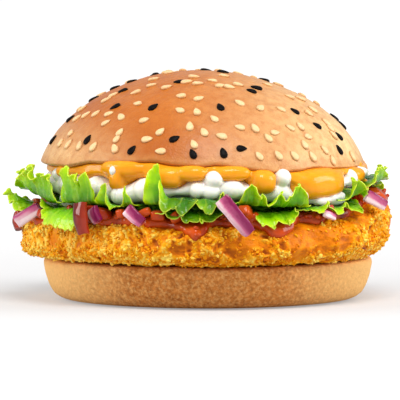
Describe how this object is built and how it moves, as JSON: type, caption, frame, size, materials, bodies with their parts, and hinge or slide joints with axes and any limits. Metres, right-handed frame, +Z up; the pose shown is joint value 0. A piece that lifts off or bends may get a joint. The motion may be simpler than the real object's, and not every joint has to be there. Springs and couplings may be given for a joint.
{
  "type": "chicken burger",
  "caption": "Breaded chicken patty in a seeded bun with lettuce, red onion, salsa, mayonnaise and cheese sauce; stands on its flat heel.",
  "frame": {"origin": "middle of the heel's flat underside, where the burger rests", "axes": "+Z up through the crown, -Y towards the viewer of the picture, +X to the viewer's right"},
  "size_m": [0.1168, 0.1162, 0.0693],
  "materials": {
    "heel_crust": "dry baked crust",
    "breading": "rough fried crumb",
    "salsa": "wet, glossy",
    "mayonnaise": "creamy, glossy",
    "cheese_sauce": "smooth, glossy",
    "crown_crust": "baked crust with a soft sheen",
    "lettuce": "moist leaf",
    "onion": "moist, pink-white with a purple skin",
    "tomato": "moist, glossy"
  },
  "bodies": {
    "root": {"heel": "heel_crust", "patty": "breading", "salsa": "salsa", "mayonnaise": "mayonnaise", "cheese_sauce": "cheese_sauce", "crown": "crown_crust", "lettuce_bed": "lettuce", "lettuce_high_1": "lettuce", "lettuce_high_2": "lettuce", "lettuce_high_3": "lettuce", "lettuce_high_4": "lettuce", "lettuce_high_5": "lettuce", "lettuce_high_6": "lettuce", "lettuce_high_7": "lettuce", "lettuce_high_8": "lettuce", "lettuce_high_9": "lettuce", "lettuce_high_10": "lettuce", "lettuce_high_11": "lettuce", "lettuce_high_12": "lettuce", "lettuce_low_1": "lettuce", "lettuce_low_2": "lettuce", "lettuce_low_3": "lettuce", "lettuce_low_4": "lettuce", "lettuce_low_5": "lettuce", "lettuce_low_6": "lettuce", "lettuce_low_7": "lettuce", "lettuce_low_8": "lettuce", "lettuce_low_9": "lettuce", "onion_1": "onion", "onion_2": "onion", "onion_3": "onion", "onion_4": "onion", "onion_5": "onion", "onion_6": "onion", "onion_7": "onion", "onion_8": "onion", "onion_9": "onion", "onion_10": "onion", "tomato_1": "tomato", "tomato_2": "tomato"}
  },
  "joints": []
}
